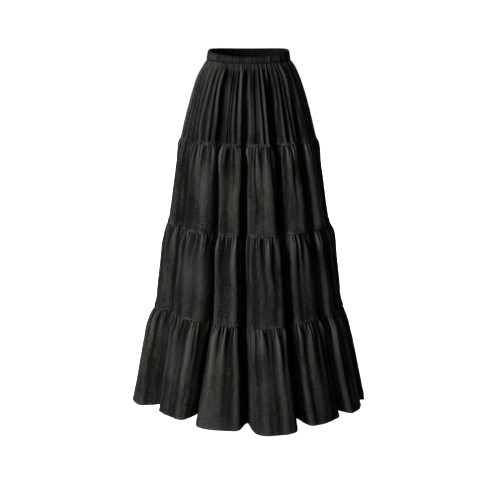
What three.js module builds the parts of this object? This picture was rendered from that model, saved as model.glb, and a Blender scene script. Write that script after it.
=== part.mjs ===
// A maxi skirt in four gathered tiers under a ruched elastic waistband, filled out as if worn, with no wearer in it.
// Millimetres, +Z up, the front faces -Y. The origin is the middle of the waistband, where a waist holds the skirt.
// Each tier is a front and a back panel, sewn together at the sides, and each panel is one closed wall of cloth.
// Every seam keeps a small gap, so that the pieces lie face to face without touching.

import * as THREE from 'three';

// Driving sizes
const CLOTH = 2;
const BAND_THICKNESS = 3.5;
const SEAM_GAP = 0.3;
const RIM_AT_SIDES = 13;
const RIM_DIP = 8;
const BAND_BOTTOM = -13;
const HEM = -1030;
const HEM_RISE = 6;

// How the wall is divided, and how many gathers each large fold holds
const COLUMNS_PER_FOLD = 12;
const GATHERS_PER_FOLD = 3;

// The section of a large fold: how far its lobe spreads over its valley, how much its flanks lean out,
// and how narrow its valley is
const LOBE_SPREAD = 0.11;
const FLANK_LEAN = 0.022;
const VALLEY_SHARPNESS = 3;

// The side seams lie on the crests nearest the left and right sides, counted in folds from the first row of FOLDS
const LEFT_SEAM = -0.5;
const RIGHT_SEAM = 5.5;

// The outline over the fold crests at each height: half width, half depth, how much of the large folds has opened
// there, and the depth of the gathers
const LEVELS = [
  { z: 13, halfWidth: 110, halfDepth: 84, open: 0, gather: 1 },
  { z: -13, halfWidth: 116, halfDepth: 88, open: 0, gather: 3 },
  { z: -26, halfWidth: 125, halfDepth: 94, open: 0.01, gather: 6 },
  { z: -49, halfWidth: 137.5, halfDepth: 101, open: 0.04, gather: 8.5 },
  { z: -105, halfWidth: 158, halfDepth: 112, open: 0.14, gather: 9 },
  { z: -185, halfWidth: 180, halfDepth: 125, open: 0.26, gather: 7.5 },
  { z: -236, halfWidth: 193, halfDepth: 132, open: 0.32, gather: 6 },
  { z: -266, halfWidth: 201, halfDepth: 142, open: 0.36, gather: 9 },
  { z: -336, halfWidth: 212.5, halfDepth: 155, open: 0.44, gather: 8.5 },
  { z: -431, halfWidth: 226, halfDepth: 169, open: 0.53, gather: 6.5 },
  { z: -482, halfWidth: 235, halfDepth: 177, open: 0.57, gather: 6 },
  { z: -516, halfWidth: 245, halfDepth: 187, open: 0.61, gather: 11 },
  { z: -589, halfWidth: 256.5, halfDepth: 195, open: 0.67, gather: 10 },
  { z: -663, halfWidth: 267, halfDepth: 203, open: 0.72, gather: 8 },
  { z: -738, halfWidth: 279, halfDepth: 212, open: 0.76, gather: 7 },
  { z: -768, halfWidth: 291, halfDepth: 223, open: 0.8, gather: 12 },
  { z: -827, halfWidth: 305, halfDepth: 237, open: 0.87, gather: 13 },
  { z: -930, halfWidth: 328, halfDepth: 263, open: 0.95, gather: 11 },
  { z: HEM, halfWidth: 349, halfDepth: 287, open: 1, gather: 9 },
];

// The large folds, round from the left of the front by way of the right side. hips, knees and hem are the azimuths of
// the valley at those heights, in degrees from the front's middle. depth is its depth at the hem, and early the share
// of that at the hips. crest is how far the lobe after the valley stands out (+) or back (-) at the hem.
const HIPS = -236;
const KNEES = -738;
const FOLDS = [
  { hips: -62, knees: -67, hem: -64, depth: 74, early: 0.55, crest: -44 },
  { hips: -27, knees: -26, hem: -33, depth: 68, early: 1.6, crest: -24 },
  { hips: -3, knees: -2.5, hem: -0.5, depth: 60, early: 1.7, crest: 8 },
  { hips: 25, knees: 26.5, hem: 28, depth: 85, early: 1.16, crest: -15 },
  { hips: 51, knees: 54, hem: 57, depth: 58, early: 1.5, crest: 0 },
  { hips: 76, knees: 77, hem: 78, depth: 22, early: 0.65, crest: 2 },
  { hips: 101, knees: 101, hem: 101, depth: 52, early: 0.5, crest: -5 },
  { hips: 119, knees: 119, hem: 119, depth: 60, early: 0.6, crest: -14 },
  { hips: 137, knees: 137, hem: 137, depth: 58, early: 1.3, crest: 2 },
  { hips: 155, knees: 155, hem: 154, depth: 66, early: 0.4, crest: -10 },
  { hips: 173, knees: 173, hem: 173, depth: 56, early: 1.4, crest: 8 },
  { hips: 191, knees: 191, hem: 190, depth: 70, early: 0.5, crest: -16 },
  { hips: 209, knees: 208, hem: 208, depth: 54, early: 1.1, crest: -4 },
  { hips: 227, knees: 226, hem: 226, depth: 62, early: 0.4, crest: -12 },
  { hips: 248, knees: 246, hem: 244, depth: 56, early: 0.3, crest: -2 },
];

// The tiers from the top down, between their seams
const TIERS = [
  { name: 'tier_1', top: BAND_BOTTOM, bottom: HIPS },
  { name: 'tier_2', top: HIPS, bottom: -482 },
  { name: 'tier_3', top: -482, bottom: KNEES },
  { name: 'tier_4', top: KNEES, bottom: HEM },
];

const cloth = new THREE.MeshStandardMaterial({ color: 0x262524, roughness: 0.88, metalness: 0 });
const bandCloth = new THREE.MeshStandardMaterial({ color: 0x242222, roughness: 0.9, metalness: 0 });

const mix = (a, b, t) => a + (b - a) * t;
const smooth = (t) => t * t * (3 - 2 * t);
const bump = (turns) => (1 + Math.cos(2 * Math.PI * turns)) / 2;

// The outline at any height, between the two rows of LEVELS that hold it
function levelAt(z) {
  let i = 0;
  while (i < LEVELS.length - 2 && z < LEVELS[i + 1].z) i++;
  const [over, under] = [LEVELS[i], LEVELS[i + 1]];
  const t = THREE.MathUtils.clamp((over.z - z) / (over.z - under.z), 0, 1);
  const between = (column) => mix(over[column], under[column], t);
  return {
    halfWidth: between('halfWidth'),
    halfDepth: between('halfDepth'),
    open: between('open'),
    gather: between('gather'),
  };
}

// A row of FOLDS by its number, which goes on round the skirt past the last row and before the first
function fold(number) {
  const turns = Math.floor(number / FOLDS.length);
  return { ...FOLDS[number - turns * FOLDS.length], turns };
}

// The azimuth of a valley in degrees, which drifts as the fold falls
function valleyAzimuth(number, z) {
  const { hips, knees, hem, turns } = fold(number);
  const { clamp } = THREE.MathUtils;
  const upper = mix(hips, knees, clamp((HIPS - z) / (HIPS - KNEES), 0, 1));
  return mix(upper, hem, clamp((KNEES - z) / (KNEES - HEM), 0, 1)) + 360 * turns;
}

// The azimuth of a place on the cloth, in radians. Places count folds, with the whole numbers in the valleys.
function azimuthAt(place, z, open) {
  const n = Math.floor(place);
  const t = place - n;
  const spread = LOBE_SPREAD * open * Math.sin(2 * Math.PI * t);
  const lean = FLANK_LEAN * open * Math.sin(4 * Math.PI * t);
  return THREE.MathUtils.degToRad(mix(valleyAzimuth(n, z), valleyAzimuth(n + 1, z), t - spread + lean));
}

// How far the cloth lies inside the outline: its valley and gather, less what its lobe stands out
function inset(place, z, level) {
  const n = Math.floor(place);
  const t = place - n;
  const { depth, early } = fold(t < 0.5 ? n : n + 1);
  const valley = depth * level.open * mix(early, 1, level.open) * bump(t) ** VALLEY_SHARPNESS;
  const before = mix(fold(n - 1).crest, fold(n).crest, smooth(Math.min(1, t + 0.5)));
  const crest = mix(before, fold(n + 1).crest, smooth(Math.max(0, t - 0.5)));
  const number = Math.round(place * GATHERS_PER_FOLD);
  const uneven = 0.74 + 0.26 * Math.sin(2.4 * number + z / 190);
  return valley + level.gather * uneven * bump(place * GATHERS_PER_FOLD) - crest * level.open ** 2;
}

// A point of the cloth's middle surface
function clothPoint(place, z) {
  const level = levelAt(z);
  const azimuth = azimuthAt(place, z, level.open);
  const depth = inset(place, z, level);
  const outward = new THREE.Vector2(Math.sin(azimuth) / level.halfWidth, -Math.cos(azimuth) / level.halfDepth);
  outward.normalize();
  return new THREE.Vector3(
    level.halfWidth * Math.sin(azimuth) - outward.x * depth,
    -level.halfDepth * Math.cos(azimuth) - outward.y * depth,
    z,
  );
}

// The outer and inner points of the wall along one row. height gives the row's z at each place. The two end columns
// of an open row are moved in by half the seam gap.
function wallRow(from, to, height, thickness, isRing) {
  const step = 1 / COLUMNS_PER_FOLD;
  const count = Math.round((to - from) / step);
  const row = { outer: [], inner: [] };
  for (let i = 0; i <= (isRing ? count - 1 : count); i++) {
    const place = from + i * step;
    const middle = clothPoint(place, height(place));
    const along = clothPoint(place + step, height(place + step)).sub(clothPoint(place - step, height(place - step)));
    along.setZ(0).normalize();
    if (!isRing && i === 0) middle.addScaledVector(along, SEAM_GAP / 2);
    if (!isRing && i === count) middle.addScaledVector(along, -SEAM_GAP / 2);
    const out = new THREE.Vector3(along.y, -along.x, 0);
    row.outer.push(middle.clone().addScaledVector(out, thickness / 2));
    row.inner.push(middle.clone().addScaledVector(out, -thickness / 2));
  }
  return row;
}

// A closed wall through rows from the top down: two faces, the top and bottom edges, and the ends of an open one
function wallGeometry(rows, isRing) {
  const columns = rows[0].outer.length;
  const positions = rows.flatMap((row) => [...row.outer, ...row.inner]).flatMap((point) => point.toArray());
  const outer = (r, c) => r * 2 * columns + (c % columns);
  const inner = (r, c) => outer(r, c) + columns;
  const faces = [];
  const quad = (a, b, c, d) => faces.push(a, b, c, a, c, d);
  const last = rows.length - 1;
  const spans = isRing ? columns : columns - 1;
  for (let c = 0; c < spans; c++) {
    for (let r = 0; r < last; r++) {
      quad(outer(r, c), outer(r + 1, c), outer(r + 1, c + 1), outer(r, c + 1));
      quad(inner(r, c + 1), inner(r + 1, c + 1), inner(r + 1, c), inner(r, c));
    }
    quad(outer(0, c), outer(0, c + 1), inner(0, c + 1), inner(0, c));
    quad(inner(last, c), inner(last, c + 1), outer(last, c + 1), outer(last, c));
  }
  for (let r = 0; r < last && !isRing; r++) {
    quad(outer(r, 0), inner(r, 0), inner(r + 1, 0), outer(r + 1, 0));
    quad(outer(r + 1, spans), inner(r + 1, spans), inner(r, spans), outer(r, spans));
  }
  const geometry = new THREE.BufferGeometry();
  geometry.setAttribute('position', new THREE.Float32BufferAttribute(positions, 3));
  geometry.setIndex(faces);
  geometry.computeVertexNormals();
  return geometry;
}

function rimHeight(place) {
  return RIM_AT_SIDES - RIM_DIP * Math.cos(azimuthAt(place, 0, 0)) ** 2;
}

function hemHeight(place) {
  return HEM + HEM_RISE * bump(place);
}

function waistband() {
  const bottom = BAND_BOTTOM + SEAM_GAP / 2;
  const halfway = (place) => mix(rimHeight(place), bottom, 0.5);
  const rows = [rimHeight, halfway, () => bottom].map((height) =>
    wallRow(LEFT_SEAM, LEFT_SEAM + FOLDS.length, height, BAND_THICKNESS, true),
  );
  const mesh = new THREE.Mesh(wallGeometry(rows, true), bandCloth);
  mesh.name = 'waistband';
  return mesh;
}

// The heights of a tier's rows: its two seams, and the levels between them
function tierHeights({ top, bottom }) {
  const between = LEVELS.filter(({ z }) => z < top && z > bottom).map(({ z }) => () => z);
  const first = () => top - SEAM_GAP / 2;
  const last = bottom === HEM ? hemHeight : () => bottom + SEAM_GAP / 2;
  return [first, ...between, last];
}

function panel(name, tier, from, to) {
  const rows = tierHeights(tier).map((height) => wallRow(from, to, height, CLOTH, false));
  const geometry = wallGeometry(rows, false);
  geometry.translate(0, 0, -tier.top);
  const mesh = new THREE.Mesh(geometry, cloth);
  mesh.name = name;
  return mesh;
}

const skirt = new THREE.Group();
skirt.add(waistband());
for (const tier of TIERS) {
  const ring = new THREE.Group();
  ring.position.z = tier.top;
  ring.add(panel(`${tier.name}_front`, tier, LEFT_SEAM, RIGHT_SEAM));
  ring.add(panel(`${tier.name}_back`, tier, RIGHT_SEAM, LEFT_SEAM + FOLDS.length));
  skirt.add(ring);
}

export default skirt;
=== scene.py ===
# A maxi skirt in four gathered tiers under a ruched elastic waistband, filled out as if worn and open at
# both ends. Metres, +Z up, the front faces -Y. The sizes of the main form are those of the solid model,
# given in millimetres. Each panel of cloth is one thin closed shell, which replaces the plain wall of the
# same panel.

import math

import bpy
import numpy as np
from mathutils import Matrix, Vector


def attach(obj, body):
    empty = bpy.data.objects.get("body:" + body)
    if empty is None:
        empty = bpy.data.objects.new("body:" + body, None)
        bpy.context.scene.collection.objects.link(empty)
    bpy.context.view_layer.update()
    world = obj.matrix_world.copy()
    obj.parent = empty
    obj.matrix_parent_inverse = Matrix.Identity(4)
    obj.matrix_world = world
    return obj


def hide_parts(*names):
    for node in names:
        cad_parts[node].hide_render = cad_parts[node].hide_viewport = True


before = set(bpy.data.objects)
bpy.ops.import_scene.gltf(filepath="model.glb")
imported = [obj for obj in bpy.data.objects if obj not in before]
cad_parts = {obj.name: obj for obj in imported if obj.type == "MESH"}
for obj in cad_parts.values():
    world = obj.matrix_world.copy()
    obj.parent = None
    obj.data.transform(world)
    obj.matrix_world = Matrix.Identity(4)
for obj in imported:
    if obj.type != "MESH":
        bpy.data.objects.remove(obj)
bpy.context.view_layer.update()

MM = 0.001

# Driving sizes
CLOTH = 0.8 * MM
CASING = 2.4 * MM
RIM_AT_SIDES = 13 * MM
RIM_DIP = 8 * MM
BAND_BOTTOM = -13 * MM
HEM = -1030 * MM
HEM_RISE = 6 * MM

# The section of a large fold: how far its lobe spreads over its valley, how much its flanks lean out,
# and how narrow its valley is
LOBE_SPREAD = 0.11
FLANK_LEAN = 0.022
VALLEY_SHARPNESS = 3

# The side seams lie on the crests nearest the left and right sides, counted in folds from the first row of
# FOLDS
LEFT_SEAM = -0.5
RIGHT_SEAM = 5.5

# The outline over the fold crests at each height, in millimetres: height, half width, half depth,
# and how much of the large folds has opened there
LEVELS = np.array(
    [
        (13, 110, 84, 0),
        (-13, 116, 88, 0),
        (-26, 125, 94, 0.01),
        (-49, 137.5, 101, 0.04),
        (-105, 158, 112, 0.14),
        (-185, 180, 125, 0.26),
        (-236, 193, 132, 0.32),
        (-266, 201, 142, 0.36),
        (-336, 212.5, 155, 0.44),
        (-431, 226, 169, 0.53),
        (-482, 235, 177, 0.57),
        (-516, 245, 187, 0.61),
        (-589, 256.5, 195, 0.67),
        (-663, 267, 203, 0.72),
        (-738, 279, 212, 0.76),
        (-768, 291, 223, 0.8),
        (-827, 305, 237, 0.87),
        (-930, 328, 263, 0.95),
        (-1030, 349, 287, 1),
    ]
)

# The large folds, round from the left of the front by way of the right side: the azimuth of the valley in
# degrees from the front's middle, at the hips, at the knees and at the hem, its depth at the hem, the
# share of that at the hips, and how far the lobe after the valley stands out (+) or back (-) at the hem.
# Depths and lobes are in millimetres.
FOLDS = np.array(
    [
        (-62, -67, -64, 74, 0.55, -44),
        (-27, -26, -33, 68, 1.6, -24),
        (-3, -2.5, -0.5, 60, 1.7, 8),
        (25, 26.5, 28, 85, 1.16, -15),
        (51, 54, 57, 58, 1.5, 0),
        (76, 77, 78, 22, 0.65, 2),
        (101, 101, 101, 52, 0.5, -5),
        (119, 119, 119, 60, 0.6, -14),
        (137, 137, 137, 58, 1.3, 2),
        (155, 155, 154, 66, 0.4, -10),
        (173, 173, 173, 56, 1.4, 8),
        (191, 191, 190, 70, 0.5, -16),
        (209, 208, 208, 54, 1.1, -4),
        (227, 226, 226, 62, 0.4, -12),
        (248, 246, 244, 56, 0.3, -2),
    ]
)
HIPS, KNEES = -236 * MM, -738 * MM
FOLD_COUNT = len(FOLDS)

# The tiers from the top down: the heights of their seams, the grid of one panel, the flat cut of the
# front and the back panel, the mean width of the finest gathers under the top seam, and how far above the
# next seam the gathers close (0 at the hem). Heights and gathers are in millimetres, and cuts in metres.
# The width of a cut is that of the cloth its panel shows here. The back has more, since it hangs in nine
# folds and the front in six.
TIERS = [
    {
        "name": "tier_1",
        "top": -13,
        "bottom": -236,
        "grid": (440, 44),
        "cuts": {"front": (0.63, 0.24), "back": (0.65, 0.24)},
        "gather": 7.5,
        "close": 12,
    },
    {
        "name": "tier_2",
        "top": -236,
        "bottom": -482,
        "grid": (560, 44),
        "cuts": {"front": (0.88, 0.25), "back": (0.94, 0.25)},
        "gather": 10,
        "close": 16,
    },
    {
        "name": "tier_3",
        "top": -482,
        "bottom": -738,
        "grid": (680, 44),
        "cuts": {"front": (1.12, 0.262), "back": (1.25, 0.262)},
        "gather": 10.5,
        "close": 16,
    },
    {
        "name": "tier_4",
        "top": -738,
        "bottom": -1030,
        "grid": (780, 46),
        "cuts": {"front": (1.37, 0.303), "back": (1.61, 0.303)},
        "gather": 11,
        "close": 0,
    },
]

# The generations of gathers in a tier. Under the seam the cloth stands in many narrow gathers, and
# further down they run into each other. Each row gives how deep a gather is for its width, how far under
# the seam it starts, the distance in which it swells out, how far down it reaches, how much of it is left
# at the next seam, how much painted shade darkens its creases and painted highlight lightens its ridges,
# and how far it sinks into the outline for its mean height. Distances are in millimetres.
GATHERS = [
    {"share": 0.75, "start": -2, "swell": 4, "reach": 26, "left": 0, "dark": 1.1, "sink": 1.3},
    {"share": 0.45, "start": 1, "swell": 8, "reach": 75, "left": 0.1, "dark": 0.7, "sink": 0.9},
    {"share": 0.11, "start": 4, "swell": 22, "reach": 330, "left": 0.5, "dark": 0.16, "sink": 0.5},
]
WAIST_GATHERS = [
    {"share": 0.75, "start": -1, "swell": 4, "reach": 26, "left": 0, "dark": 1, "sink": 1.3},
    {"share": 0.8, "start": 13, "swell": 8, "reach": 280, "left": 0.3, "dark": 0.8, "sink": 1.2},
    {"share": 0.14, "start": 20, "swell": 50, "reach": 400, "left": 0.4, "dark": 0.25, "sink": 1},
]

# The top tier at the wearer's sides: how much flatter its gathers are, how much painted light lightens its
# cloth over the hips, and the sideways share of the direction where this begins and the one in which it grows
SIDE_CALM = 0.6
HIP_PAINTED_LIGHT = 0.16
SIDE_START = 0.5
SIDE_GROWTH = 0.4

# Under a top seam, the distances in which the gathers and the crumple of the linen begin
GATHER_START = 2.5 * MM
CRUMPLE_START = 30 * MM

# Painted light and shade: its level on plain cloth, the relief that adds one of painted highlight, and the
# painted shade of the large valleys
PLAIN_SHADING = 0.62
HIGHLIGHT_RELIEF = 40 * MM
VALLEY_PAINTED_SHADE = 0.45

# How deep the cloth is tucked under the waistband and under the other seams
WAIST_TUCK = 3 * MM
TIER_TUCK = 1.6 * MM

# How deep a panel dips at its side seams, and over what distance
BACK_SIDE_DIP = 1.2 * MM
FRONT_SIDE_DIP = 2.2 * MM
SIDE_DIP_REACH = 2 * MM

# How much painted highlight lightens the cloth over a bottom seam, how much that varies and in what
# length, and how far up it reaches, and the same at a side seam, where it doesn't vary
SEAM_HIGHLIGHT = 0.14
SEAM_HIGHLIGHT_CHANGE = 0.22
SEAM_HIGHLIGHT_LENGTH = 8 * MM
SEAM_HIGHLIGHT_REACH = 5 * MM
SIDE_SEAM_HIGHLIGHT = 0.1
SIDE_SEAM_HIGHLIGHT_REACH = 4 * MM

# The waistband: its grid, the mean width and the height of its ruching, how far its edges roll in, the
# level of its painted light and shade, and the puff height that adds one of painted highlight to that
BAND_GRID = (840, 14)
RUCHE_WIDTH = 5.5 * MM
RUCHE_HEIGHT = 2.6 * MM
RIM_ROLL = 1.5 * MM
FOOT_ROLL = 1.2 * MM
BAND_SHADING = 0.32
BAND_HIGHLIGHT_RELIEF = 4.5 * MM

# How far a tier's top is sewn up behind the seam above it, and a front panel's side behind the back panel's
SEAM_TUCK = 8 * MM
SIDE_TUCK = 0.02

# How far the seams waver up and down, and how many waves of each kind go round the skirt
SEAM_WAVER = 2.2 * MM
SEAM_WAVES = (43, 67, 101, 149)

# How near a side seam the gathers flatten
SIDE_SMOOTHING = 7 * MM

# Stitches: their length and pitch, the thickness of the thread, and how far above the hem's edge they run
STITCH_LENGTH = 3.2 * MM
STITCH_PITCH = 4.2 * MM
THREAD = 0.6 * MM
HEM_TURN = 8 * MM

# How much darker the cloth is on its inside
INSIDE_DARKENING = 0.8

# The sections of a stitch: where each is along it, and its radius as a share of the thread's
STITCH_SECTIONS = ((0.06, 0.35), (0.3, 1), (0.7, 1), (0.94, 0.35))
STITCH_CORNERS = 4

# Colours of the cloth where painted shade darkens creases and valleys, where painted highlight lightens
# ridges, and in its tinted patches
SKIRT_COLOURS = ((0.004, 0.0038, 0.0034), (0.06, 0.058, 0.0515), (0.03, 0.025, 0.029))
BAND_COLOURS = ((0.004, 0.0038, 0.0036), (0.036, 0.035, 0.0325), (0.02, 0.0175, 0.0195))
THREADS_PER_METRE = 1300
NOISE_CELLS = 512


def mix(a, b, t):
    return a + (b - a) * t


def smooth(t):
    t = np.clip(t, 0, 1)
    return t * t * (3 - 2 * t)


def bump(turns):
    return (1 + np.cos(2 * math.pi * turns)) / 2


def curve(x, knots, values):
    """A smooth curve through the values at rising knots."""
    slopes = np.gradient(values, knots)
    i = np.clip(np.searchsorted(knots, x) - 1, 0, len(knots) - 2)
    span = knots[i + 1] - knots[i]
    t = np.clip((x - knots[i]) / span, 0, 1)
    rise = smooth(t)
    start = slopes[i] * span * t * (1 - t) ** 2
    end = slopes[i + 1] * span * t**2 * (t - 1)
    return mix(values[i], values[i + 1], rise) + start + end


def noise_2d(x, y, seed):
    """Smooth noise from -1 to 1 over a plane, with about one wave for each two units."""
    values = np.random.default_rng(seed).uniform(-1, 1, (NOISE_CELLS, NOISE_CELLS))
    i, j = np.floor(x).astype(int), np.floor(y).astype(int)
    u, v = smooth(x - i), smooth(y - j)
    i, j = i % NOISE_CELLS, j % NOISE_CELLS
    next_i, next_j = (i + 1) % NOISE_CELLS, (j + 1) % NOISE_CELLS
    near = mix(values[i, j], values[next_i, j], u)
    far = mix(values[i, next_j], values[next_i, next_j], u)
    return mix(near, far, v)


def row_spread(count, dense):
    """Shares of a height for rows, denser towards its ends."""
    t = np.linspace(0, 1, count)
    return mix(t, (1 - np.cos(math.pi * t)) / 2, dense)


def level(z):
    """Half width, half depth and openness at heights in metres."""
    rising = LEVELS[::-1]
    width, depth, openness = (curve(z / MM, rising[:, 0], rising[:, k]) for k in (1, 2, 3))
    return width * MM, depth * MM, np.clip(openness, 0, 1)


def fold(column, number):
    return FOLDS[number % FOLD_COUNT, column]


def valley_azimuth(number, z):
    """The azimuth of a valley in degrees, which drifts as the fold falls."""
    hips, knees, hem = (fold(column, number) for column in (0, 1, 2))
    upper = mix(hips, knees, np.clip((HIPS - z) / (HIPS - KNEES), 0, 1))
    return mix(upper, hem, np.clip((KNEES - z) / (KNEES - HEM), 0, 1)) + 360 * (number // FOLD_COUNT)


def azimuth_at(place, z, openness):
    """The azimuth of a place in radians. Places count folds, with whole numbers in the valleys."""
    n = np.floor(place).astype(int)
    t = place - n
    spread = LOBE_SPREAD * openness * np.sin(2 * math.pi * t)
    lean = FLANK_LEAN * openness * np.sin(4 * math.pi * t)
    return np.radians(mix(valley_azimuth(n, z), valley_azimuth(n + 1, z), t - spread + lean))


def fold_inset(place, openness):
    """How far the cloth lies inside the outline, in metres: its valley, less what its lobe stands out."""
    n = np.floor(place).astype(int)
    t = place - n
    nearest = np.where(t < 0.5, n, n + 1)
    depth, early = fold(3, nearest), fold(4, nearest)
    valley = depth * openness * mix(early, 1, openness) * bump(t) ** VALLEY_SHARPNESS
    before = mix(fold(5, n - 1), fold(5, n), smooth(t + 0.5))
    crest = mix(before, fold(5, n + 1), smooth(t - 0.5))
    return (valley - crest * openness**2) * MM


def main_form(place, z):
    """Points of the skirt's main form, with its large folds and no gathers."""
    half_width, half_depth, openness = level(z)
    azimuth = azimuth_at(place, z, openness)
    inset = fold_inset(place, openness)
    out_x, out_y = np.sin(azimuth) / half_width, -np.cos(azimuth) / half_depth
    scale = inset / np.hypot(out_x, out_y)
    x = half_width * np.sin(azimuth) - out_x * scale
    y = -half_depth * np.cos(azimuth) - out_y * scale
    return np.stack([x, y, z], axis=-1)


def grid_normals(points, ring):
    """Unit normals of a grid of points, out of the skirt. Rows run down, columns from left to right."""
    if ring:
        across = np.roll(points, -1, axis=1) - np.roll(points, 1, axis=1)
    else:
        across = np.gradient(points, axis=1)
    down = np.gradient(points, axis=0)
    normals = np.cross(down, across)
    return normals / np.linalg.norm(normals, axis=-1, keepdims=True)


def even_places(start, end, z, count, ring):
    """Places evenly spaced along the cloth, how far along they are, and the cloth's length."""
    fine = np.linspace(start, end, 6001)
    points = main_form(fine, np.full_like(fine, z))
    steps = np.linalg.norm(np.diff(points, axis=0), axis=1)
    along = np.concatenate([[0], np.cumsum(steps)])
    wanted = np.linspace(0, along[-1], count, endpoint=not ring)
    return np.interp(wanted, along, fine), wanted, along[-1]


def first_creases(marks, width, rng):
    """Creases between gathers, unevenly spaced, with one at each mark, in a row for each span."""
    spans = []
    for start, end in zip(marks[:-1], marks[1:]):
        gaps = rng.uniform(0.55, 1.5, max(1, round((end - start) / width)))
        ends = start + np.cumsum(gaps) * (end - start) / gaps.sum()
        spans.append(np.concatenate([[start], ends]))
    return spans


def merged_creases(spans, rng):
    """The creases left once neighbouring gathers have run into each other, two or three at a time."""
    merged = []
    for creases in spans:
        kept = [0]
        while kept[-1] < len(creases) - 1:
            kept.append(min(kept[-1] + int(rng.integers(2, 4)), len(creases) - 1))
        merged.append(creases[kept])
    return merged


def joined(spans):
    """All the creases of neighbouring spans in one row."""
    return np.concatenate([span[:-1] for span in spans] + [spans[-1][-1:]])


def within(creases, cloth):
    """The gather that each point of the cloth is in, and how far across it."""
    cell = np.clip(np.searchsorted(creases, cloth) - 1, 0, len(creases) - 2)
    return cell, (cloth - creases[cell]) / np.diff(creases)[cell]


def gather_relief(cloth, down, spans, gather, rng):
    """How far one generation of gathers stands out of the outline, with painted shade in its creases and
    painted highlight on its ridges.
    """
    creases = joined(spans)
    count = len(creases) - 1
    cell, across = within(creases, cloth)
    width = np.diff(creases)
    height = gather["share"] * width * rng.uniform(0.5, 1.25, count)
    reach = gather["reach"] * MM * rng.uniform(0.45, 1.6, count)
    skew = rng.uniform(-0.7, 0.7, count)
    t = np.clip(across, 0, 1)
    t = t + skew[cell] * t * (1 - t)
    round_top = np.sin(math.pi * t)
    swell = 1 - np.exp(-np.clip(down - gather["start"] * MM, 0, None) / (gather["swell"] * MM))
    left = gather["left"]
    lasting = left + (1 - left) * np.exp(-((down / reach[cell]) ** 2))
    relief = height[cell] * swell * lasting * round_top ** mix(0.75, 1.3, smooth(down / (120 * MM)))
    mean = height.mean() * swell * (left + (1 - left) * np.exp(-((down / (gather["reach"] * MM)) ** 2)))
    # The second value is painted shade in the creases and painted highlight on the ridges
    return relief - gather["sink"] * mean, gather["dark"] * (0.75 - round_top**0.5) * swell * lasting


def gathers(tier, cloth, down, marks, rng):
    """The relief of all of a tier's gathers, with painted shade in their creases and painted highlight on
    their ridges.
    """
    spans = first_creases(marks, tier["gather"] * MM, rng)
    generations = WAIST_GATHERS if tier["name"] == "tier_1" else GATHERS
    wander = 4 * MM * noise_2d(cloth / 0.045, down / 0.08, 11) * smooth(down / 0.04)
    relief, creases = 0, 0
    for gather in generations:
        part, part_creases = gather_relief(cloth + wander, down, spans, gather, rng)
        relief, creases = relief + part, creases + part_creases
        spans = merged_creases(spans, rng)
    return relief, creases


def pucker_relief(tier, cloth, up, marks, rng):
    """The short puckers that a seam draws into the cloth above it."""
    creases = joined(first_creases(marks, 0.9 * tier["gather"] * MM, rng))
    cell, t = within(creases, cloth)
    count = len(creases) - 1
    height = 1.6 * MM * rng.uniform(0.2, 1.3, count)[cell]
    reach = 12 * MM * rng.uniform(0.4, 1.8, count)[cell]
    return height * (np.sin(math.pi * t) - 0.6) * np.exp(-((up / reach) ** 2)) * smooth(up / (4 * MM))


def valley_room(place, openness):
    """Where gathers have room: 1 on the lobes, and little in the narrow valleys."""
    return 1 - 0.85 * np.sqrt(openness) * bump(place) ** 0.8


def crumple(cloth, down, seed):
    """The faint unevenness of washed linen."""
    broad = 0.8 * noise_2d(cloth / 0.03, down / 0.055, seed)
    fine = 0.25 * noise_2d(cloth / 0.009, down / 0.016, seed + 1)
    return (broad + fine) * MM


def seam_waver(place, z):
    """How far a seam wavers up and down as it goes round, in metres, the same over and under it."""
    turns = place / FOLD_COUNT
    waves = sum(np.sin(2 * math.pi * (count * turns + count * z)) for count in SEAM_WAVES)
    return SEAM_WAVER * waves / len(SEAM_WAVES)


def tier_rows(count, height, is_hem):
    """The distances of a tier's rows under its top seam, denser towards the seams."""
    share = row_spread(count, 0.45 if is_hem else 0.75)
    return mix(-SEAM_TUCK, height, mix(share, share**1.25, 0.7))


def panel_grid(tier, start, end):
    """Places, cloth coordinates, distances under the top seam, heights and valley marks of a panel."""
    top, bottom = tier["top"] * MM, tier["bottom"] * MM
    height = top - bottom
    is_hem = tier["close"] == 0
    columns, rows = tier["grid"]
    places, cloth, length = even_places(start, end, (top + bottom) / 2, columns, False)
    down = tier_rows(rows, height, is_hem)[:, None] + 0 * places
    hem_rise = HEM_RISE * bump(places) if is_hem else 0
    waver_over = 0 if tier["name"] == "tier_1" else seam_waver(places, top)
    waver_under = 0 if is_hem else seam_waver(places, bottom)
    waver = mix(waver_over, waver_under, np.clip(down / height, 0, 1))
    z = top - down * (1 - hem_rise / height) + waver
    valleys = np.arange(math.ceil(start), math.floor(end) + 1)
    marks = np.concatenate([[0], np.interp(valleys, places, cloth), [length]])
    return places + 0 * z, cloth + 0 * z, down, z, marks


def calmed_sides(relief, creases, sine, share_down):
    """The top tier's relief and crease shading, flatter at the wearer's sides, where painted light also
    lightens the cloth.
    """
    sideways = smooth((np.abs(sine) - SIDE_START) / SIDE_GROWTH)
    calm = 1 - SIDE_CALM * sideways
    # Painted light: the cloth is lighter at the wearer's sides, most near the top
    side_painted_light = HIP_PAINTED_LIGHT * sideways * (1 - np.clip(share_down, 0, 1) ** 2)
    return relief * calm, creases * calm - side_painted_light


def seam_highlight(cloth, up, edge, seed):
    """The painted highlight over the cloth's bottom seam and at its side seams."""
    noise = noise_2d(cloth / SEAM_HIGHLIGHT_LENGTH, 0 * cloth, seed)
    over_seam = (SEAM_HIGHLIGHT + SEAM_HIGHLIGHT_CHANGE * noise) * np.exp(-((up / SEAM_HIGHLIGHT_REACH) ** 2))
    return over_seam + SIDE_SEAM_HIGHLIGHT * np.exp(-((edge / SIDE_SEAM_HIGHLIGHT_REACH) ** 2))


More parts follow.
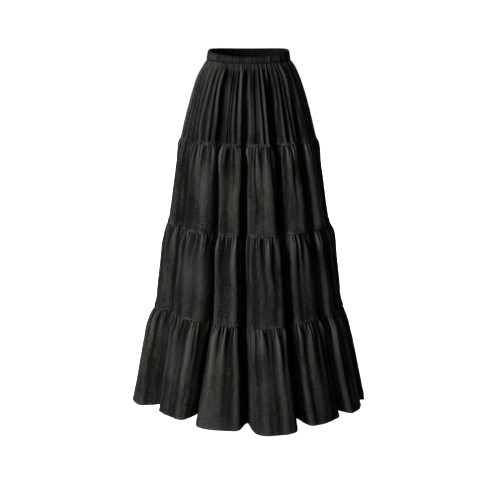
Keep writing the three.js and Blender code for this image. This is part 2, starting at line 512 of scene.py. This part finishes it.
def panel_points(tier, start, end, seed):
    """The middle surface of a panel's cloth, with its cloth coordinates and its painted light and shade."""
    rng = np.random.default_rng(seed)
    place, cloth, down, z, marks = panel_grid(tier, start, end)
    form = main_form(place, z)
    normals = grid_normals(form, False)
    openness = level(z)[2]
    height = tier["top"] * MM - tier["bottom"] * MM
    is_top, is_hem = tier["name"] == "tier_1", tier["close"] == 0
    under, up = np.clip(down, 0, None), height - down
    closing = 1 if is_hem else smooth(up / (tier["close"] * MM))
    relief, creases = gathers(tier, cloth, under, marks, rng)
    relief *= closing * valley_room(place, openness) * smooth(under / GATHER_START)
    if is_top:
        sine = np.sin(azimuth_at(place, z, openness))
        relief, creases = calmed_sides(relief, creases, sine, down / height)
    relief += crumple(cloth, down, seed + 50) * smooth(under / CRUMPLE_START)
    if not is_hem:
        relief += pucker_relief(tier, cloth, up, marks, rng)
    edge = np.minimum(cloth, marks[-1] - cloth)
    relief *= smooth(edge / SIDE_SMOOTHING)
    # Painted light and shade: raised cloth lighter as painted highlight, creases and the large valleys darker
    # as painted shade
    in_valley = np.sqrt(openness) * bump(place) ** 8
    painted_shading = PLAIN_SHADING - creases + relief / HIGHLIGHT_RELIEF - VALLEY_PAINTED_SHADE * in_valley
    # Painted highlight along the seams
    painted_shading += seam_highlight(cloth, up, edge, seed + 70)
    relief += seam_relief(down, up, WAIST_TUCK if is_top else TIER_TUCK, is_hem)
    dip = BACK_SIDE_DIP if start == RIGHT_SEAM else FRONT_SIDE_DIP
    relief -= dip * np.exp(-((edge / SIDE_DIP_REACH) ** 2))
    return form + normals * relief[..., None], cloth, down, painted_shading


def seam_relief(down, up, depth, is_hem):
    """The tuck under the top seam, and the ridge over the bottom one or the turned hem."""
    tuck = -depth * (1 - smooth((down + 1.5 * MM) / (4.5 * MM)))
    if is_hem:
        return tuck + 0.5 * MM * smooth((9 * MM - up) / (1.5 * MM))
    ridge = 1.0 * MM * np.exp(-(((up - 2 * MM) / (1.8 * MM)) ** 2))
    return tuck + ridge


def band_points():
    """The middle surface of the waistband's ruched casing."""
    rng = np.random.default_rng(3)
    count, rows = BAND_GRID
    places, cloth, length = even_places(LEFT_SEAM, LEFT_SEAM + FOLD_COUNT, 0, count, True)
    rim = RIM_AT_SIDES - RIM_DIP * np.cos(azimuth_at(places, 0, 0)) ** 2
    share = row_spread(rows, 0.6)[:, None]
    z = mix(rim, BAND_BOTTOM, share)
    place = places + 0 * z
    form = main_form(place, z)
    normals = grid_normals(form, True)
    creases = joined(first_creases([0, length], RUCHE_WIDTH, rng))
    cell, t = within(creases, cloth)
    height = (RUCHE_HEIGHT * rng.uniform(0.5, 1.2, len(creases) - 1))[cell]
    puff = np.sin(math.pi * t) * height * (0.45 + 0.55 * np.sin(math.pi * share))
    roll = -RIM_ROLL * (1 - smooth(share / 0.12)) - FOOT_ROLL * smooth((share - 0.9) / 0.1)
    relief = puff + roll
    # Painted light and shade: the puffs of the ruching lighter as painted highlight
    painted_shading = BAND_SHADING + puff / BAND_HIGHLIGHT_RELIEF
    return form + normals * relief[..., None], cloth + 0 * z, rim.max() - z, painted_shading


def new_piece(name, points, faces, material):
    """A mesh object of the given points and faces, linked into the scene."""
    mesh = bpy.data.meshes.new(name)
    mesh.from_pydata(points, [], faces)
    mesh.materials.append(material)
    piece = bpy.data.objects.new(name, mesh)
    bpy.context.scene.collection.objects.link(piece)
    return piece


def shell(name, middle, cloth, down, painted_shading, thickness, ring, material):
    """A closed shell of cloth about a grid of points, rows from the top down."""
    normals = grid_normals(middle, ring)
    rows, columns = middle.shape[:2]
    outer = middle + normals * thickness / 2
    inner = middle - normals * thickness / 2
    points = np.concatenate([outer.reshape(-1, 3), inner.reshape(-1, 3)])
    index = np.arange(rows * columns).reshape(rows, columns)
    if ring:
        index = np.concatenate([index, index[:, :1]], axis=1)
    below = rows * columns
    front = np.stack([index[:-1, :-1], index[1:, :-1], index[1:, 1:], index[:-1, 1:]], axis=-1).reshape(-1, 4)
    back = front[:, ::-1] + below
    top, bottom = index[0], index[-1]
    rims = [
        np.stack([top[:-1], top[1:], top[1:] + below, top[:-1] + below], axis=-1),
        np.stack([bottom[1:], bottom[:-1], bottom[:-1] + below, bottom[1:] + below], axis=-1),
    ]
    if not ring:
        left, right = index[:, 0], index[:, -1]
        rims.append(np.stack([left[1:], left[:-1], left[:-1] + below, left[1:] + below], axis=-1))
        rims.append(np.stack([right[:-1], right[1:], right[1:] + below, right[:-1] + below], axis=-1))
    faces = np.concatenate([front, back, *rims])
    piece = new_piece(name, points.tolist(), faces.tolist(), material)
    mesh = piece.data
    mesh.polygons.foreach_set("use_smooth", [True] * len(faces))
    flat = np.stack([cloth, -down], axis=-1).reshape(-1, 2)
    places = np.concatenate([flat, flat])[faces.reshape(-1)]
    mesh.uv_layers.new(name="cloth").uv.foreach_set("vector", places.astype(np.float32).reshape(-1))
    # The painted light and shade as an attribute, darker on the inside
    shading_attribute = mesh.attributes.new("painted_shading", "FLOAT", "POINT")
    shading_of_both = np.concatenate([painted_shading, painted_shading - INSIDE_DARKENING]).reshape(-1)
    shading_attribute.data.foreach_set("value", shading_of_both.astype(np.float32))
    mesh.update()
    return piece


def line_on(grid, down, wanted):
    """The line across a panel at a distance under its top seam, from a grid with that many rows."""
    row = int(np.searchsorted(down, wanted)) - 1
    return mix(grid[row], grid[row + 1], (wanted - down[row]) / (down[row + 1] - down[row]))


def stitch_line(name, middle, cloth, down, wanted, material):
    """A straight line of raised stitches on the outside of a panel, as one mesh of small closed spindles."""
    line = line_on(middle, down, wanted)
    out = line_on(grid_normals(middle, False), down, wanted)
    starts = np.arange(cloth[0] + STITCH_PITCH, cloth[-1] - 2 * STITCH_PITCH, STITCH_PITCH)
    points, faces = [], []
    for share, radius in STITCH_SECTIONS:
        at = starts + share * STITCH_LENGTH
        spine = np.stack([np.interp(at, cloth, line[:, k]) for k in range(3)], axis=-1)
        up = np.stack([np.interp(at, cloth, out[:, k]) for k in range(3)], axis=-1)
        spine = spine + up * (CLOTH / 2 + THREAD * 0.2)
        for way in (up, np.array([0, 0, 1.0]), -up, np.array([0, 0, -1.0])):
            points.append(spine + way * THREAD / 2 * radius)
    points = np.stack(points, axis=1).reshape(-1, 3)
    stitch_points = STITCH_CORNERS * len(STITCH_SECTIONS)
    for ring in range(len(STITCH_SECTIONS) - 1):
        for k in range(STITCH_CORNERS):
            a = ring * STITCH_CORNERS + k
            b = ring * STITCH_CORNERS + (k + 1) % STITCH_CORNERS
            faces.append([a, b, b + STITCH_CORNERS, a + STITCH_CORNERS])
    faces.append(list(range(STITCH_CORNERS))[::-1])
    faces.append(list(range(stitch_points - STITCH_CORNERS, stitch_points)))
    first = stitch_points * np.arange(len(starts))[:, None, None]
    faces = (np.array(faces)[None] + first).reshape(-1, 4)
    piece = new_piece(name, points.tolist(), faces.tolist(), material)
    piece.data.polygons.foreach_set("use_smooth", [True] * len(faces))
    piece.data.update()
    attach(piece, "root")


class Wire:
    """A socket of a finish. Arithmetic on it adds Math nodes."""

    def __init__(self, finish, socket):
        self.finish = finish
        self.socket = socket

    def maths(self, operation, *values):
        return self.finish.node("ShaderNodeMath", {"operation": operation}, dict(enumerate(values)))

    def __add__(self, other):
        return self.maths("ADD", self, other)

    def __radd__(self, other):
        return self.maths("ADD", other, self)

    def __sub__(self, other):
        return self.maths("SUBTRACT", self, other)

    def __rsub__(self, other):
        return self.maths("SUBTRACT", other, self)

    def __mul__(self, other):
        return self.maths("MULTIPLY", self, other)

    def __rmul__(self, other):
        return self.maths("MULTIPLY", other, self)


class Finish:
    """A material and its nodes."""

    def __init__(self, name):
        self.material = bpy.data.materials.new(name)
        self.material.use_nodes = True
        self.tree = self.material.node_tree
        self.tree.nodes.clear()

    def node(self, kind, settings=None, sockets=None, out=0):
        """Adds a node, sets its settings and then its sockets, and gives one of its outputs."""
        made = self.tree.nodes.new(kind)
        for name, value in (settings or {}).items():
            setattr(made, name, value)
        for name, value in (sockets or {}).items():
            if isinstance(value, Wire):
                self.tree.links.new(value.socket, made.inputs[name])
            else:
                made.inputs[name].default_value = value
        return Wire(self, made.outputs[out]) if len(made.outputs) else None

    def noise(self, place, scale, detail=3.0, roughness=0.5):
        """Noise from 0 to 1, with a scale for each direction of the cloth."""
        stretched = self.node(
            "ShaderNodeVectorMath", {"operation": "MULTIPLY"}, {0: place, 1: (scale[0], scale[1], 1)}
        )
        return self.node(
            "ShaderNodeTexNoise",
            {"noise_dimensions": "2D"},
            {"Vector": stretched, "Scale": 1.0, "Detail": detail, "Roughness": roughness},
        )

    def blend(self, factor, a, b):
        """A mix of two colours."""
        settings = {"data_type": "RGBA"}
        return self.node("ShaderNodeMix", settings, {0: factor, 6: a, 7: b}, out=2)


def linen(name, colours):
    """Matte black linen and cotton cloth: uneven threads both ways, streaks and faded patches."""
    dark, light, tint = colours
    along, across = THREADS_PER_METRE * 0.35, THREADS_PER_METRE
    finish = Finish(name)
    place = finish.node("ShaderNodeUVMap", {"uv_map": "cloth"})
    slubs = finish.noise(place, (55, 400), 2)
    warp = finish.noise(place, (400, 35), 2)
    patches = finish.noise(place, (9, 7), 4, 0.6)
    tinting = finish.noise(place, (5, 4), 2)
    weft_thread = finish.noise(place, (along, across), 1)
    warp_thread = finish.noise(place, (across, along), 1)
    # The attribute read here holds painted light and shade: painted shade in creases and valleys, painted
    # highlight on ridges, puffs and seams
    painted_shading = finish.node("ShaderNodeAttribute", {"attribute_name": "painted_shading"}, out=2)
    streaks = finish.noise(place, (70, 5), 2)
    grain = (slubs - 0.5) * 0.55 + (warp - 0.5) * 0.5 + (streaks - 0.5) * 0.5 + (patches - 0.5) * 0.5
    shade = grain + painted_shading * 1.5 - 0.78
    colour = finish.blend(shade, (*dark, 1), (*light, 1))
    colour = finish.blend(tinting * 1.8 - 0.9, colour, (*tint, 1))
    height = slubs * 0.5 + warp * 0.35 + (weft_thread + warp_thread) * 0.5
    normal = finish.node("ShaderNodeBump", None, {"Strength": 1.0, "Distance": 0.0008, "Height": height})
    roughness = 0.85 + patches * 0.15
    shader = finish.node(
        "ShaderNodeBsdfPrincipled",
        None,
        {
            "Base Color": colour,
            "Roughness": roughness,
            "Normal": normal,
            "Specular IOR Level": 0.05,
        },
    )
    finish.node("ShaderNodeOutputMaterial", None, {"Surface": shader})
    return finish.material


def thread_finish():
    """Soft black sewing thread."""
    finish = Finish("sewing_thread")
    sockets = {"Base Color": (0.03, 0.029, 0.028, 1), "Roughness": 0.6, "Specular IOR Level": 0.2}
    shader = finish.node("ShaderNodeBsdfPrincipled", None, sockets)
    finish.node("ShaderNodeOutputMaterial", None, {"Surface": shader})
    return finish.material


def dress(piece, node):
    """Ties a piece of cloth to its body and hides the solid that it replaces."""
    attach(piece, "root")
    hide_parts(node)


def make_skirt():
    """The waistband and the front and back panel of every tier, with the stitches of the hem."""
    skirt_cloth = linen("skirt_cloth", SKIRT_COLOURS)
    band_cloth = linen("waistband_cloth", BAND_COLOURS)
    thread = thread_finish()
    points, cloth, down, painted_shading = band_points()
    band = shell("waistband_casing", points, cloth, down, painted_shading, CASING, True, band_cloth)
    dress(band, "waistband")
    sides = [
        ("front", LEFT_SEAM - SIDE_TUCK, RIGHT_SEAM + SIDE_TUCK),
        ("back", RIGHT_SEAM, LEFT_SEAM + FOLD_COUNT),
    ]
    for number, tier in enumerate(TIERS):
        for side, start, end in sides:
            name = f"{tier['name']}_{side}"
            seed = 100 * number + (7 if side == "front" else 19)
            points, cloth, down, painted_shading = panel_points(tier, start, end, seed)
            piece = shell(name + "_cloth", points, cloth, down, painted_shading, CLOTH, False, skirt_cloth)
            dress(piece, name)
            if tier["close"] == 0:
                hem_line = (tier["top"] - tier["bottom"]) * MM - HEM_TURN
                stitch_line(f"hem_stitches_{side}", points, cloth[0], down[:, 0], hem_line, thread)


# The camera stands in front and a little above the waist, and looks down at the photograph's angle
CAMERA_DISTANCE = 3.466
CAMERA_HEIGHT = 0.479
CAMERA_PITCH = 16.85
CAMERA_LENS = 89.1
FRAMING_SHIFT = 0.003
FLOOR = -1.1
FLOOR_REACH = 40

# The white that the floor gives off, and the light that the backdrop gives the skirt
FLOOR_GLOW = 1.0
WORLD_GLOW = 0.05


def make_camera():
    data = bpy.data.cameras.new("camera")
    data.lens = CAMERA_LENS
    data.sensor_width = 36
    data.shift_x = FRAMING_SHIFT
    camera = bpy.data.objects.new("camera", data)
    camera.location = (0, -CAMERA_DISTANCE, CAMERA_HEIGHT)
    camera.rotation_euler = (math.radians(90 - CAMERA_PITCH), 0, 0)
    bpy.context.scene.collection.objects.link(camera)
    bpy.context.scene.camera = camera


def area_light(name, location, size, power):
    """A soft light that faces the middle of the skirt."""
    data = bpy.data.lights.new(name, "AREA")
    data.size = size
    data.energy = power
    light = bpy.data.objects.new(name, data)
    light.location = location
    centre = Vector((0, 0, HEM / 2))
    light.rotation_mode = "QUATERNION"
    light.rotation_quaternion = (centre - light.location).to_track_quat("-Z", "Y")
    bpy.context.scene.collection.objects.link(light)


def pale_world(glow):
    """A white backdrop all round, which lights the skirt only with the given glow."""
    world = bpy.data.worlds.new("studio")
    world.use_nodes = True
    nodes, links = world.node_tree.nodes, world.node_tree.links
    seen = nodes.new("ShaderNodeLightPath").outputs["Is Camera Ray"]
    strength = nodes.new("ShaderNodeMath")
    strength.operation = "MAXIMUM"
    strength.inputs[1].default_value = glow
    links.new(seen, strength.inputs[0])
    nodes["Background"].inputs["Color"].default_value = (1, 1, 1, 1)
    links.new(strength.outputs[0], nodes["Background"].inputs["Strength"])
    return world


def make_studio():
    """A plain pale floor, a soft key light from the left, and dimmer lights in front and behind."""
    floor_finish = Finish("studio_floor")
    shader = floor_finish.node(
        "ShaderNodeBsdfPrincipled",
        None,
        {
            "Base Color": (0.9, 0.9, 0.9, 1),
            "Roughness": 0.9,
            "Emission Color": (1, 1, 1, 1),
            "Emission Strength": FLOOR_GLOW,
        },
    )
    floor_finish.node("ShaderNodeOutputMaterial", None, {"Surface": shader})
    reach = FLOOR_REACH
    corners = [(x * reach, y * reach, FLOOR) for x, y in ((-1, -1), (1, -1), (1, 1), (-1, 1))]
    floor = new_piece("studio_floor", corners, [(0, 1, 2, 3)], floor_finish.material)
    floor.visible_diffuse = False
    floor.visible_glossy = False
    area_light("key", (-2.4, -2.65, 0.6), 1.0, 280)
    area_light("fill", (-0.2, -3.6, 0.3), 1.6, 20)
    area_light("side", (1.7, 3.2, 0.3), 2.0, 80)
    area_light("back", (-1.4, 3.3, 0.5), 1.1, 100)
    bpy.context.scene.world = pale_world(WORLD_GLOW)
    bpy.context.scene.view_settings.view_transform = "Standard"


make_camera()
make_studio()
make_skirt()
